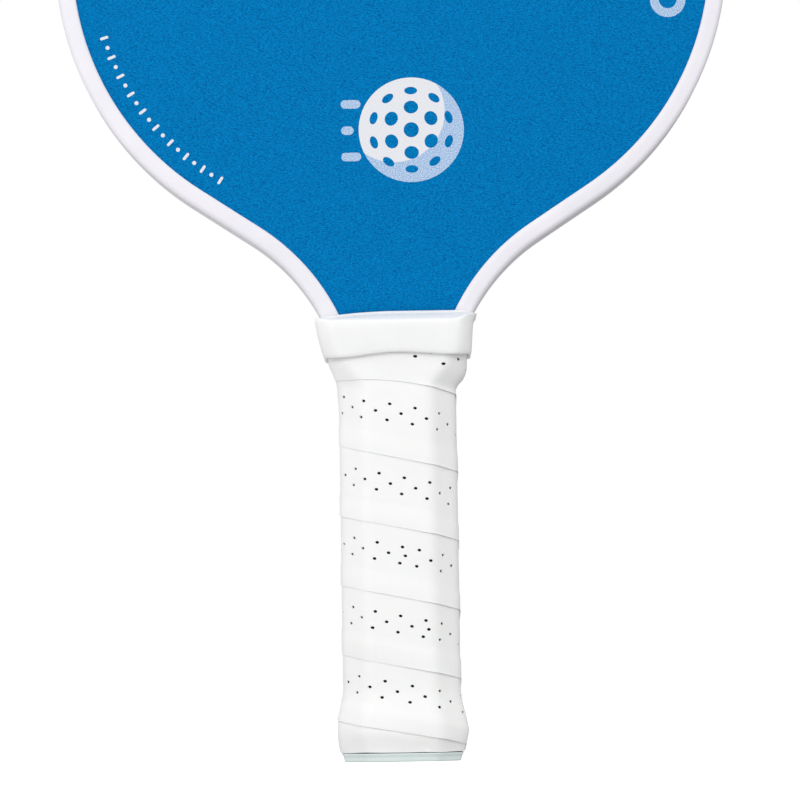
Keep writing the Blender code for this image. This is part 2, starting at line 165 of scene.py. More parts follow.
def loft(name, paint, sections, cyclic=False, angle=40):
    """A skin through sections of equal point count, closed by caps or, if cyclic, on itself."""
    mesh = bpy.data.meshes.new(name)
    shape = bmesh.new()
    rings = [[shape.verts.new(Vector(p) * MM) for p in section] for section in sections]
    count = len(rings[0])
    pairs = list(zip(rings, rings[1:]))
    if cyclic:
        pairs.append((rings[-1], rings[0]))
    else:
        shape.faces.new(rings[0])
        shape.faces.new(rings[-1])
    for low, high in pairs:
        for i in range(count):
            j = (i + 1) % count
            shape.faces.new((low[i], low[j], high[j], high[i]))
    close(shape, mesh)
    return finish_object(name, mesh, paint, angle=angle)


def close(shape, mesh):
    """Turns a closed shape's faces outwards and stores it."""
    bmesh.ops.recalc_face_normals(shape, faces=shape.faces)
    if shape.calc_volume(signed=True) < 0:
        bmesh.ops.reverse_faces(shape, faces=shape.faces)
    shape.to_mesh(mesh)
    shape.free()


def arc(centre, radius, start, end, steps):
    """Points from the start angle to the end angle, both in degrees and both included."""
    found = []
    for i in range(steps + 1):
        angle = math.radians(start + (end - start) * i / steps)
        found.append((centre[0] + radius * math.cos(angle), centre[1] + radius * math.sin(angle)))
    return found


# ---- materials -----------------------------------------------------------------------------------
BLOTCH_MM = 14.0  # size of a moulded piece's blotches


def colour(red, green, blue):
    """A colour given as 0 to 255 on screen, as linear light with an alpha of 1."""
    linear = []
    for value in (red, green, blue):
        share = value / 255
        linear.append(share / 12.92 if share <= 0.04045 else ((share + 0.055) / 1.055) ** 2.4)
    return (*linear, 1.0)


def set_inputs(tree, node, inputs):
    """Sets each input, by name or number, to a value or links it to the socket that feeds it."""
    for key, value in inputs.items():
        if isinstance(value, bpy.types.NodeSocket):
            tree.links.new(value, node.inputs[key])
        else:
            node.inputs[key].default_value = value


def add(tree, kind, inputs=None, **settings):
    """A new shader node."""
    made = tree.nodes.new("ShaderNode" + kind)
    for key, value in settings.items():
        setattr(made, key, value)
    set_inputs(tree, made, inputs or {})
    return made


def math_node(tree, operation, first, second):
    return add(tree, "Math", {0: first, 1: second}, operation=operation).outputs[0]


def noise_at(tree, place, size_mm, detail, rough=0.5):
    """Noise with features of about that size."""
    inputs = {"Vector": place, "Scale": 1 / (size_mm * MM), "Detail": detail, "Roughness": rough}
    return add(tree, "TexNoise", inputs).outputs["Fac"]


def ramp(tree, value, low, high, out_low=0.0, out_high=1.0):
    """The value's range from low to high stretched over the range that goes out."""
    inputs = {"Value": value, "From Min": low, "From Max": high}
    inputs.update({"To Min": out_low, "To Max": out_high})
    return add(tree, "MapRange", inputs).outputs["Result"]


def blend_colours(tree, share, first, second):
    """From the first colour to the second; a Mix node's colours are its inputs 6 and 7."""
    return add(tree, "Mix", {0: share, 6: first, 7: second}, data_type="RGBA").outputs[2]


def start_material(name):
    """A new material, its tree, its shader node and the piece's own coordinates."""
    made = bpy.data.materials.new(name)
    made.use_nodes = True
    tree = made.node_tree
    place = add(tree, "TexCoord").outputs["Object"]
    return made, tree, tree.nodes["Principled BSDF"], place


def bump(tree, height, depth_mm):
    inputs = {"Height": height, "Distance": depth_mm * MM, "Strength": 1.0}
    return add(tree, "Bump", inputs).outputs["Normal"]


def moulded(name, light, dark, roughness, grain_mm, depth_mm, **extra):
    """A moulded finish: two close colours in broad blotches, fine grain and uneven gloss."""
    made, tree, shader, place = start_material(name)
    blotch = ramp(tree, noise_at(tree, place, BLOTCH_MM, 3.0), 0.3, 0.7)
    grain = noise_at(tree, place, grain_mm, 3.0)
    set_inputs(tree, shader, {
        "Base Color": blend_colours(tree, blotch, light, dark),
        "Roughness": ramp(tree, grain, 0.3, 0.7, roughness - 0.05, roughness + 0.05),
        "Normal": bump(tree, grain, depth_mm),
        **extra,
    })
    return made


def cells_at(tree, place, size_mm, feature):
    """Distance to the middle of the nearest cell, in cells of about that size."""
    inputs = {"Vector": place, "Scale": 1 / (size_mm * MM)}
    return add(tree, "TexVoronoi", inputs, feature=feature).outputs["Distance"]


def grit(tree, place):
    """The height of the sheet's texture: a leathery grain, wider than tall, and fine grit."""
    grain_mm, fine_mm = 0.42, 0.26
    long = add(tree, "Mapping", {"Vector": place, "Scale": (0.6, 1.0, 1.4)}).outputs["Vector"]
    grain = noise_at(tree, long, grain_mm, 2.0, 0.6)
    cells = cells_at(tree, long, grain_mm, "SMOOTH_F1")
    fine = noise_at(tree, place, fine_mm, 2.0)
    height = math_node(tree, "MULTIPLY", cells, -0.4)
    height = math_node(tree, "ADD", height, grain)
    return math_node(tree, "ADD", height, math_node(tree, "MULTIPLY", fine, 0.5))


def skin_material():
    """Blue, lighter on the grain's tops than in its hollows: ink lies a little thicker in the hollows,
    and painted shade darkens them further.
    """
    made, tree, shader, place = start_material("gritty_blue_sheet")
    height = grit(tree, place)
    # the dark blue goes into the hollows: partly ink pooled there, partly painted shade of the grain
    raised = ramp(tree, height, 0.25, 0.85)
    set_inputs(tree, shader, {
        "Base Color": blend_colours(tree, raised, colour(0, 83, 149), colour(0, 147, 218)),
        "Roughness": ramp(tree, height, 0.1, 0.8, 0.62, 0.48),
        "Specular IOR Level": 0.03,
        "Normal": bump(tree, height, 0.45),
    })
    return made


def ink_material(name, light, dark=None, lit_centre=None):
    """Printed ink that follows the sheet's texture; outside the lit circle it turns dark.

    Each ink is given as two colours, which the grain of the print mixes in fine specks.
    """
    made, tree, shader, place = start_material(name)
    height = grit(tree, place)
    specks = ramp(tree, noise_at(tree, place, 0.34, 1.0), 0.4, 0.6)
    base = blend_colours(tree, specks, *light)
    if lit_centre:
        centre = tuple(c * MM for c in lit_centre)
        away = add(tree, "VectorMath", {0: place, 1: centre}, operation="DISTANCE").outputs["Value"]
        edge, soft = LIT_R * MM, 0.05 * MM
        beyond = ramp(tree, away, edge - soft, edge + soft)
        base = blend_colours(tree, beyond, base, blend_colours(tree, specks, *dark))
    set_inputs(tree, shader, {
        "Base Color": base,
        "Roughness": 0.55,
        "Specular IOR Level": 0.25,
        "Normal": bump(tree, height, 0.03),
    })
    return made


def grip_material():
    """Soft white polyurethane with fine pores and shallow creases."""
    made, tree, shader, place = start_material("perforated_grip_tape")
    broad = ramp(tree, noise_at(tree, place, 18.0, 3.0), 0.3, 0.7)
    pores = cells_at(tree, place, 0.22, "F1")
    crease = noise_at(tree, place, 2.6, 4.0, 0.55)
    height = math_node(tree, "ADD", math_node(tree, "MULTIPLY", pores, 0.25), crease)
    set_inputs(tree, shader, {
        "Base Color": blend_colours(tree, broad, colour(247, 247, 246), colour(244, 244, 243)),
        "Roughness": ramp(tree, crease, 0.3, 0.7, 0.48, 0.60),
        "Specular IOR Level": 0.35,
        "Subsurface Weight": 0.12,
        "Subsurface Radius": (0.0012, 0.0010, 0.0009),
        "Subsurface Scale": 1.0,
        "Normal": bump(tree, height, 0.035),
    })
    return made


def collar_material():
    """Satin silicone rubber that light enters a little."""
    made, tree, shader, place = start_material("silicone_collar")
    broad = ramp(tree, noise_at(tree, place, 9.0, 3.0), 0.3, 0.7)
    fine = noise_at(tree, place, 0.8, 3.0)
    set_inputs(tree, shader, {
        "Base Color": blend_colours(tree, broad, colour(245, 245, 245), colour(242, 242, 242)),
        "Roughness": ramp(tree, fine, 0.3, 0.7, 0.50, 0.60),
        "Specular IOR Level": 0.35,
        "Subsurface Weight": 0.35,
        "Subsurface Radius": (0.0024, 0.0023, 0.0022),
        "Subsurface Scale": 1.0,
        "Normal": bump(tree, fine, 0.02),
    })
    return made


def scrim_material():
    """Woven glass cloth: crossed waves under resin."""
    made, tree, shader, place = start_material("glass_scrim")
    pitch_mm = 2.2
    waves = []
    for axis in ("X", "Z"):
        inputs = {"Vector": place, "Scale": 1 / (pitch_mm * MM) / math.tau * 2}
        waves.append(add(tree, "TexWave", inputs, bands_direction=axis).outputs["Fac"])
    weave = math_node(tree, "MAXIMUM", *waves)
    set_inputs(tree, shader, {
        "Base Color": blend_colours(tree, weave, colour(215, 217, 210), colour(240, 240, 234)),
        "Roughness": 0.6,
        "Normal": bump(tree, weave, 0.06),
    })
    return made


def steel_material():
    """Plated wire with fine scratches along it."""
    made, tree, shader, place = start_material("staple_steel")
    along = add(tree, "Mapping", {"Vector": place, "Scale": (0.2, 1.0, 1.0)}).outputs["Vector"]
    scratches = noise_at(tree, along, 0.3, 4.0)
    light, dark = (0.62, 0.62, 0.63, 1), (0.45, 0.45, 0.47, 1)
    set_inputs(tree, shader, {
        "Base Color": blend_colours(tree, scratches, light, dark),
        "Metallic": 1.0,
        "Roughness": ramp(tree, scratches, 0.3, 0.7, 0.22, 0.4),
        "Normal": bump(tree, scratches, 0.01),
    })
    return made


def core_material():
    """Milky extruded polypropylene."""
    clear = {"Transmission Weight": 0.15}
    light, dark = colour(222, 226, 228), colour(205, 212, 216)
    return moulded("extruded_core", light, dark, 0.45, 0.6, 0.02, **clear)


def shell_material():
    return moulded("shell_plastic", colour(66, 66, 68), colour(52, 52, 54), 0.55, 0.35, 0.03)


def binding_material():
    light, dark = colour(232, 232, 235), colour(222, 222, 226)
    return moulded("finishing_tape_vinyl", light, dark, 0.35, 0.5, 0.01)


def guard_material():
    """Semi-gloss white plastic with a breath of lilac, a little soft to light."""
    soft = {
        "Specular IOR Level": 0.4,
        "Subsurface Weight": 0.08,
        "Subsurface Radius": (0.002, 0.002, 0.002),
        "Subsurface Scale": 1.0,
    }
    light, dark = colour(236, 234, 240), colour(231, 229, 236)
    return moulded("guard_plastic", light, dark, 0.42, 0.5, 0.012, **soft)


def cap_material():
    light, dark = colour(232, 243, 242), colour(226, 239, 237)
    return moulded("mint_cap_plastic", light, dark, 0.3, 0.5, 0.01)


def foam_material():
    return moulded("cushion_foam", colour(30, 30, 31), colour(20, 20, 21), 0.88, 0.25, 0.05)


def bond_material():
    light, dark = colour(226, 221, 205), colour(218, 212, 192)
    return moulded("guard_bond_tape", light, dark, 0.7, 0.6, 0.03)


def paint_solids():
    """Gives each solid that isn't replaced its material; only the hitting sheets are in sight."""
    skin, scrim, shell, steel = skin_material(), scrim_material(), shell_material(), steel_material()
    paints = {
        "front_face_sheet": skin,
        "back_face_sheet": skin,
        "front_scrim": scrim,
        "back_scrim": scrim,
        "honeycomb_core": core_material(),
        "edge_tape": bond_material(),
        "handle_shell_front": shell,
        "handle_shell_back": shell,
        "butt_staple_front": steel,
        "butt_staple_back": steel,
        "finishing_tape": binding_material(),
    }
    for name, paint in paints.items():
        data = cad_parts[name].data
        data.materials.clear()
        data.materials.append(paint)


# ---- the blade's outline and guard ---------------------------------------------------------------
def corner_centre():
    """Centre of the top corner arc, which touches both the side arc and the crown arc."""
    side = Vector((WIDTH / 2 - SIDE_R, SHOULDER_Z))
    crown = Vector((0, LENGTH - CROWN_R))
    to_side, to_crown = SIDE_R - CORNER_R, CROWN_R - CORNER_R
    apart = crown - side
    along = (to_side**2 - to_crown**2 + apart.length_squared) / (2 * apart.length)
    across = math.sqrt(to_side**2 - along**2)
    direction = apart.normalized()
    return side + direction * along + Vector((-direction.y, direction.x)) * across


def half_outline(inset):
    """Right-hand side of the blade, from the guard's end up to the crown's middle point.

    It lies inside the guard's own outline by the inset. The arcs keep their centres at any inset,
    so the same point in two outlines lies opposite.
    """
    shoulder, throat = Vector((SHOULDER_X, SHOULDER_Z)), Vector((THROAT_X, THROAT_Z))
    side = Vector((WIDTH / 2 - SIDE_R, SHOULDER_Z))
    crown = Vector((0, LENGTH - CROWN_R))
    corner = corner_centre()
    apart = throat - shoulder
    lean = math.acos((SHOULDER_R + THROAT_R) / apart.length)
    tangent = math.degrees(math.atan2(apart.y, apart.x) + lean)
    side_end = math.degrees(math.atan2(corner.y - side.y, corner.x - side.x))
    crown_start = math.degrees(math.atan2(corner.y - crown.y, corner.x - crown.x))
    throat_radius = THROAT_R + inset
    throat_start = 180 - math.degrees(math.asin((GUARD_END_Z - THROAT_Z) / throat_radius))
    return (
        arc(throat, throat_radius, throat_start, tangent + 180, 24)
        + arc(shoulder, SHOULDER_R - inset, tangent, 0, 40)
        + arc(side, SIDE_R - inset, 0, side_end, 14)[1:]
        + arc(corner, CORNER_R - inset, side_end, crown_start, 32)[1:]
        + arc(crown, CROWN_R - inset, crown_start, 90, 14)[1:]
    )


def whole(half):
    """A right-hand outline joined to its mirror image, the point on the middle line used once."""
    return half + [(-x, z) for x, z in reversed(half[:-1])]


def build_guard(paint):
    """The channel: a crowned web, rounded shoulders, and lips that taper a little to their edge."""
    inner_y = FACE_Y + GUARD_GAP
    round_centre = (GUARD_ROUND, GUARD_Y - GUARD_ROUND)
    web = [(0.28, 0.0), (0.25, 2.0), (0.15, 4.0), (0.03, GUARD_Y - GUARD_ROUND - 0.9)]
    shoulder = arc(round_centre, GUARD_ROUND, 180, 90, 7)
    lip = [
        (GUARD_LIP - 1.6, GUARD_Y - 0.02),
        (GUARD_LIP - 0.6, GUARD_Y - 0.10),
        (GUARD_LIP - 0.22, GUARD_Y - 0.22),
        (GUARD_LIP - 0.03, GUARD_Y - 0.48),
        (GUARD_LIP, inner_y + 0.12),
        (GUARD_LIP - 0.1, inner_y),
        (GUARD_WEB + 0.3, inner_y),
        (GUARD_WEB, inner_y - 0.3),
    ]
    half = web[1:] + shoulder + lip
    profile = [web[0]] + half + [(inset, -y) for inset, y in reversed(half)]
    around = [whole(half_outline(inset)) for inset, _ in profile]
    sections = []
    for i in range(len(around[0])):
        sections.append([(line[i][0], y, line[i][1]) for line, (_, y) in zip(around, profile)])
    guard = loft("edge_guard_moulding", paint, sections)
    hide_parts("edge_guard")


# ---- printed marks -------------------------------------------------------------------------------
def circle(x, z, radius, steps):
    """A closed ring of so many points."""
    return arc((x, z), radius, 0, 360 * (steps - 1) / steps, steps - 1)


def turned(outline, x, z, degrees):
    """An outline turned about its own middle and moved to x, z."""
    c, s = math.cos(math.radians(degrees)), math.sin(math.radians(degrees))
    return [(x + c * a - s * b, z + s * a + c * b) for a, b in outline]


def oval(x, z, half_long, half_short, degrees):
    """An ellipse whose long side runs at so many degrees."""
    outline = []
    for i in range(OVAL_POINTS):
        angle = math.tau * i / OVAL_POINTS
        outline.append((half_long * math.cos(angle), half_short * math.sin(angle)))
    return turned(outline, x, z, degrees)


def pill(x, z, half_length, radius, degrees):
    """A bar with round ends that runs at so many degrees."""
    ends = arc((half_length - radius, 0), radius, -90, 90, PILL_END_STEPS)
    ends += arc((radius - half_length, 0), radius, 90, 270, PILL_END_STEPS)
    return turned(ends, x, z, degrees)


def print_curve(name, outlines):
    """Flat ink inside the outlines, lying in the XY plane."""
    curve = bpy.data.curves.new(name, "CURVE")
    curve.dimensions = "2D"
    curve.fill_mode = "BOTH"
    curve.extrude = INK_Y * MM / 2
    for outline in outlines:
        spline = curve.splines.new("POLY")
        spline.points.add(len(outline) - 1)
        for point, (x, z) in zip(spline.points, outline):
            point.co = (x * MM, z * MM, 0, 1)
        spline.use_cyclic_u = True
    obj = bpy.data.objects.new(name, curve)
    bpy.context.scene.collection.objects.link(obj)
    return obj


def print_on_faces(name, front_ink, back_ink, outlines):
    """The same print on both faces; the back one is turned half round."""
    offset = (FACE_Y + INK_Y / 2 + INK_GAP) * MM
    for side, ink, y, turn in (("front", front_ink, -offset, 0.0), ("back", back_ink, offset, math.pi)):
        obj = print_curve(f"{side}_{name}", outlines)
        obj.rotation_euler = (math.pi / 2, 0, turn)
        obj.location = (0, y, 0)
        bpy.context.view_layer.update()
        graph = bpy.context.evaluated_depsgraph_get()
        mesh = bpy.data.meshes.new_from_object(obj.evaluated_get(graph))
        mesh.transform(obj.matrix_world)
        bpy.data.objects.remove(obj)
        mesh.materials.clear()
        piece = finish_object(f"{side}_{name}", mesh, ink)


def ball_outlines():
    """A ball with round holes, which look narrower towards its rim."""
    outlines = [circle(BALL_X, BALL_Z, BALL_R, 64), circle(BALL_X, BALL_Z, BALL_HOLE_R, 28)]
    for away, count, first, half_long, half_short in BALL_HOLES:
        for k in range(count):
            degrees = first + 360 / count * k
            angle = math.radians(degrees)
            x, z = BALL_X + away * math.cos(angle), BALL_Z + away * math.sin(angle)
            outlines.append(oval(x, z, half_long, half_short, degrees + 90))
    return outlines


def trail_outlines():
    """Three bars behind the ball."""
    outlines = []
    for rise, half_length in TRAILS:
        reach = math.sqrt(BALL_R**2 - rise**2) + TRAIL_GAP
        outlines.append(pill(BALL_X - reach - half_length, BALL_Z + rise, half_length, TRAIL_R, 0))
    return outlines


def between(places, values, at):
    """The value at a place, in straight steps from one listed place to the next."""
    i = next(k for k in range(1, len(places)) if places[k] >= at)
    share = (at - places[i - 1]) / (places[i] - places[i - 1])
    return values[i - 1] + (values[i] - values[i - 1]) * share


def rim_marks():
    """Short bars and dots in a row that follows the rim on the left."""
    low, high = RIM_LOW_Z - 12, RIM_HIGH_Z + 6  # a little past both ends of the row
    line = [(-x, z) for x, z in half_outline(RIM_INSET) if low < z < high]
    xs, zs = [x for x, _ in line], [z for _, z in line]
    lengths = [0.0]
    for (ax, az), (bx, bz) in zip(line, line[1:]):
        lengths.append(lengths[-1] + math.hypot(bx - ax, bz - az))
    start, end = between(zs, lengths, RIM_LOW_Z), between(zs, lengths, RIM_HIGH_Z)
    outlines = []
    for k in range(RIM_COUNT):
        at = start + (end - start) * k / (RIM_COUNT - 1)
        x, z = between(lengths, xs, at), between(lengths, zs, at)
        if k % 2:
            outlines.append(circle(x, z, RIM_DOT_R, 16))
        else:
            ahead_x, ahead_z = between(lengths, xs, at + 1.0), between(lengths, zs, at + 1.0)
            across = math.degrees(math.atan2(ahead_z - z, ahead_x - x)) + 90
            outlines.append(pill(x, z, RIM_BAR_HALF, RIM_BAR_R, across))
    return outlines


def side_marks():
    """A column of rings up the right-hand side, which shrink as they rise."""
    outlines = []
    z, radius = RING_Z, RING_R
    for _ in range(RING_COUNT):
        outlines += [circle(RING_X, z, radius, 40), circle(RING_X, z, radius / 2, 40)]
        shrunk = radius * RING_SHRINK
        z += radius + shrunk + RING_GAP
        radius = shrunk
    return outlines


def build_prints():
    """The blade's marks in white and pale blue ink; the ball turns pale where it is unlit."""
    white = (colour(228, 230, 235), colour(219, 221, 227))
    pale = (colour(138, 170, 210), colour(192, 212, 236))
    emblems = []
    for side, sign in (("front", 1), ("back", -1)):
        centre = (sign * (BALL_X + LIT_X), -sign * FACE_Y, BALL_Z + LIT_Z)
        emblems.append(ink_material(f"{side}_emblem_ink", white, pale, centre))
    white_ink, pale_ink = ink_material("white_ink", white), ink_material("pale_blue_ink", pale)
    print_on_faces("ball_emblem", *emblems, ball_outlines())
    print_on_faces("ball_trails", pale_ink, pale_ink, trail_outlines())
    print_on_faces("rim_marks", white_ink, white_ink, rim_marks())
    print_on_faces("side_rings", pale_ink, pale_ink, side_marks())


# ---- the handle's octagon ------------------------------------------------------------------------
def size_at(z):
    """Half width, half depth, chamfer width and chamfer depth of the grip's seat at height z."""
    z = min(max(z, STATIONS[0][0]), STATIONS[-1][0])
    for low, high in zip(STATIONS, STATIONS[1:]):
        if z <= high[0]:
            share = smooth((z - low[0]) / (high[0] - low[0]))
            return [a + (b - a) * share for a, b in zip(low[1:], high[1:])]
    return list(STATIONS[-1][1:])


def round_octagon(size, share, radius=SEAT_ROUND):
    """A point on an octagon with rounded corners, and the outward direction there.

    share runs from 0 at the middle of the front, by the left, the back and the right, to 1.
    """
    half_x, half_y, chamfer_x, chamfer_y = size
    first = math.atan2(chamfer_y, chamfer_x)
    second = math.pi / 2 - first
    cut_one, cut_two = radius * math.tan(first / 2), radius * math.tan(second / 2)
    slope = math.hypot(chamfer_x, chamfer_y)
    lengths = (
        half_x - chamfer_x - cut_one,
        radius * first,
        slope - cut_one - cut_two,
        radius * second,
        half_y - chamfer_y - cut_two,
    )
    quarter = int(share * 4 % 4)
    along = share * 4 % 1.0
    if quarter % 2:
        along = 1.0 - along
    left = along * sum(lengths)
    centre = (-lengths[0], radius - half_y)
    sin_one, cos_one = math.sin(first), math.cos(first)
    if left <= lengths[0]:
        x, y, nx, ny = -left, -half_y, 0.0, -1.0
    elif left <= sum(lengths[:2]):
        angle = (left - lengths[0]) / radius
        nx, ny = -math.sin(angle), -math.cos(angle)
        x, y = centre[0] + radius * nx, centre[1] + radius * ny
    else:
        run = min(left - sum(lengths[:2]), lengths[2])
        nx, ny = -sin_one, -cos_one
        x = centre[0] + radius * nx - run * cos_one
        y = centre[1] + radius * ny + run * sin_one
        past = left - sum(lengths[:3])
        if past > 0:
            pivot = (x - radius * nx, y - radius * ny)
            angle = first + min(past, lengths[3]) / radius
            nx, ny = -math.sin(angle), -math.cos(angle)
            x, y = pivot[0] + radius * nx, pivot[1] + radius * ny
            y += max(past - lengths[3], 0.0)
    if quarter in (1, 2):
        y, ny = -y, -ny
    if quarter in (2, 3):
        x, nx = -x, -nx
    return x, y, nx, ny


def handle_ring(z, grow, size=None, radius=SEAT_ROUND):
    """A ring at height z that stands off the seat, or off another octagon, by grow."""
    points = []
    for i in range(RING_POINTS):
        x, y, nx, ny = round_octagon(size or size_at(z), i / RING_POINTS, radius)
        points.append((x + nx * grow, y + ny * grow, z))
    return points


# ---- the wound grip ------------------------------------------------------------------------------
def seam_z(turn):
    """Height of the tape's lower edge, by a smooth curve through the seams."""
    i = max(k for k in range(len(SEAMS) - 1) if SEAMS[k][0] <= turn or k == 0)
    (t0, z0), (t1, z1) = SEAMS[i], SEAMS[i + 1]
    before = SEAMS[i - 1] if i else (2 * t0 - t1, 2 * z0 - z1)
    after = SEAMS[i + 2] if i + 2 < len(SEAMS) else (2 * t1 - t0, 2 * z1 - z0)
    span = t1 - t0
    slope0 = (z1 - before[1]) / (t1 - before[0]) * span
    slope1 = (after[1] - z0) / (after[0] - t0) * span
    u = (turn - t0) / span
    return ((2 * u**3 - 3 * u**2 + 1) * z0 + (u**3 - 2 * u**2 + u) * slope0
            + (3 * u**2 - 2 * u**3) * z1 + (u**3 - u**2) * slope1)


def tape_thickness(t):
    """The tape thins towards both edges."""
    return TAPE_EDGE_T + (TAPE_T - TAPE_EDGE_T) * smooth(min(t, TAPE_W - t) / TAPE_SKIVE)


def tape_place(s, t):
    """Turn and height of the tape's point that is s along it and t above its lower edge."""
    turn = TAPE_FIRST + (s * math.cos(TAPE_LEAN) - t * math.sin(TAPE_LEAN)) / GIRTH
    z = seam_z(turn) + t / math.cos(TAPE_LEAN)
    angle = math.tau * turn
    foot = TAPE_FOOT_Z + 0.15 + 0.2 * noise.noise((2.5 * math.cos(angle), 2.5 * math.sin(angle), 0.7))
    return turn, min(max(z, foot), TAPE_TOP_Z)


def tape_levels(turn, z, t):
    """How far the tape's inner and outer side stand off the seat."""
    lapped = smooth((turn - TAPE_FIRST - 0.94) / 0.06)  # 1 where there is a turn underneath
    # How far the point lies under the upper edge of the turn below, and that turn's thickness there.
    under = seam_z(turn - 1) + TAPE_W / math.cos(TAPE_LEAN) - z
    below = tape_thickness(TAPE_W - max(under, 0.0))
    lap = (below + 0.03) * smooth((under + 0.8) / 0.8) * lapped
    puff = 0.08 * noise.noise((turn * 7.0, z / 9.0, 3.1))
    puff += 0.03 * noise.noise((turn * 26.0, z / 2.6, 8.4))
    # The lower edge is loose here and there, most of all on the right-hand front chamfer.
    loose = 0.03 + 0.08 * smooth(noise.noise((turn * 6.0, 5.2, 0.4)) + 0.5)
    loose += 0.30 * smooth(1 - abs(turn % 1.0 - 0.88) / 0.09)
    lifted = loose * smooth(1 - t / 1.1) * lapped
    flare = smooth((12.0 - z) / 6.0)
    ripple = 0.16 * flare * noise.noise((turn * 14.0, z / 5.0, 1.7))
    inner = TAPE_GAP + lap + max(puff, -0.04) + lifted + ripple
    inner = max(inner, TAPE_GAP * 0.6) + end_drape(turn, z)
    return inner, inner + tape_thickness(t)


def end_drape(turn, z):
    """How far the tape leaves the seat at its ends.

    Under the collar it is pulled flat on the left and bulges on the right. At the butt its left
    side is fullest just above the cap.
    """
    share = turn % 1.0
    left = smooth(1 - abs(share - 0.25) / 0.17)
    right = smooth(1 - abs(share - 0.775) / 0.135)
    pulled = 0.45 * hump(z, 111.5, 5.0) - 1.1 * hump(z, 118.3, 3.4)
    butt = 0.35 * hump(z, 4.6, 1.2) - 0.4 * hump(z, 9.0, 2.5)
    bulge = 1.35 * smooth((z - 112.4) / 2.3) * (1 - 0.9 * smooth((z - 115.3) / 5.5))
    return left * (pulled + butt) + right * bulge


def tape_point(s, t, outside, sink=0.0):
    """A point of the tape's outer or inner side, sunk into the tape by so much."""
    turn, z = tape_place(s, t)
    inner, outer = tape_levels(turn, z, t)
    x, y, nx, ny = round_octagon(size_at(z), turn % 1.0)
    grow = (outer if outside else inner) - sink
    return Vector((x + nx * grow, y + ny * grow, z)) * MM


def follow(knots, at):
    """The value at a place, eased from one of the (place, value) knots to the next."""
    for (a, low), (b, high) in zip(knots, knots[1:]):
        if at <= b:
            return low + (high - low) * smooth((at - a) / (b - a))
    return knots[-1][1]


def column_places():
    """Distances of the mesh's columns from the tape's start."""
    places = [0.0]
    turn = TAPE_FIRST
    while turn < TAPE_LAST:
        places.append(places[-1] + CELL_S * (1 + CELL_PULL * smooth((2.0 - turn) / 0.9)))
        turn = tape_place(places[-1], 0.0)[0]
    return places


def punched_columns():
    """The rows of the holes, counted from the band's middle row, in each punched column."""
    kinds = {}
    start = 0
    for pairs in PUNCH_RUNS:
        for k in range(pairs):
            kinds[start + PAIR_STEP * k] = (-2, 2)
            kinds[start + PAIR_STEP * k + PAIR_STEP // 2] = (0,)
        start += PAIR_STEP * pairs - 2
    return kinds


def row_places(turn):
    """Distances of the mesh's rows from the tape's lower edge; the band's rows follow the punch."""
    middle = follow(BAND, turn)
    cells = [middle + (k - 0.5) * CELL_T for k in range(-BAND_ROWS, BAND_ROWS + 2)]
    above = (cells[-1] + TAPE_W - EDGE_ROWS[-1]) / 2
    return [*EDGE_ROWS, *cells, above, *(TAPE_W - t for t in reversed(EDGE_ROWS))]


def build_tape(paint):
    """The tape as a grid along and across itself, punched through and wound on the seat."""
    places = column_places()
    rows = [row_places(tape_place(s, BAND[0][1])[0]) for s in places]
    mesh = bpy.data.meshes.new("wound_grip_tape")
    shape = bmesh.new()
    outer, inner = (
        [[shape.verts.new(tape_point(s, t, outside)) for t in row] for s, row in zip(places, rows)]
        for outside in (True, False)
    )
    fill_sides(shape, outer, inner, places, rows)
    fill_rims(shape, outer, inner)
    bmesh.ops.remove_doubles(shape, verts=shape.verts, dist=1e-6)
    close(shape, mesh)
    tape = finish_object("wound_grip_tape", mesh, paint, angle=50)
    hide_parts("grip_tape")


def fill_sides(shape, outer, inner, places, rows):
    """The tape's outer and inner side, cell by cell, with a hole in each punched cell."""
    punched = punched_columns()
    middle_row = len(EDGE_ROWS) + BAND_ROWS
    for i in range(len(outer) - 1):
        for j in range(len(outer[0]) - 1):
            if j - middle_row in punched.get(i, ()) and is_free(places, rows, i, j):
                s = (places[i] + places[i + 1]) / 2
                t = (rows[i][j] + rows[i][j + 1]) / 2
                punch(shape, cell(outer, i, j), cell(inner, i, j), s, t)
            else:
                shape.faces.new(cell(outer, i, j))
                a, b, c, d = cell(inner, i, j)
                shape.faces.new((a, d, c, b))


def fill_rims(shape, outer, inner):
    """The tape's two long edges and its two cut ends."""
    columns, last = len(outer) - 1, len(outer[0]) - 1
    for i in range(columns):
        shape.faces.new((outer[i][0], inner[i][0], inner[i + 1][0], outer[i + 1][0]))
        shape.faces.new((outer[i][last], outer[i + 1][last], inner[i + 1][last], inner[i][last]))
    for j in range(last):
        first, end = cell_side(outer, 0, j), cell_side(inner, 0, j)
        shape.faces.new((*first, *reversed(end)))
        first, end = cell_side(outer, columns, j), cell_side(inner, columns, j)
        shape.faces.new((first[0], *end, first[1]))


def cell(grid, i, j):
    """The corners of a grid's cell, in order round it."""
    return grid[i][j], grid[i + 1][j], grid[i + 1][j + 1], grid[i][j + 1]


def cell_side(grid, i, j):
    return grid[i][j], grid[i][j + 1]


def is_free(places, rows, i, j):
    """Whether a cell is clear of the trimmed ends of the winding."""
    low = tape_z(places[i], rows[i][j])
    high = tape_z(places[i + 1], rows[i + 1][j + 1])
    return TAPE_FOOT_Z + 6 < low and high < TAPE_TOP_Z - 1


def tape_z(s, t):
    """The height that a point would have if the tape weren't trimmed."""
    return seam_z(tape_place(s, t)[0]) + t / math.cos(TAPE_LEAN)


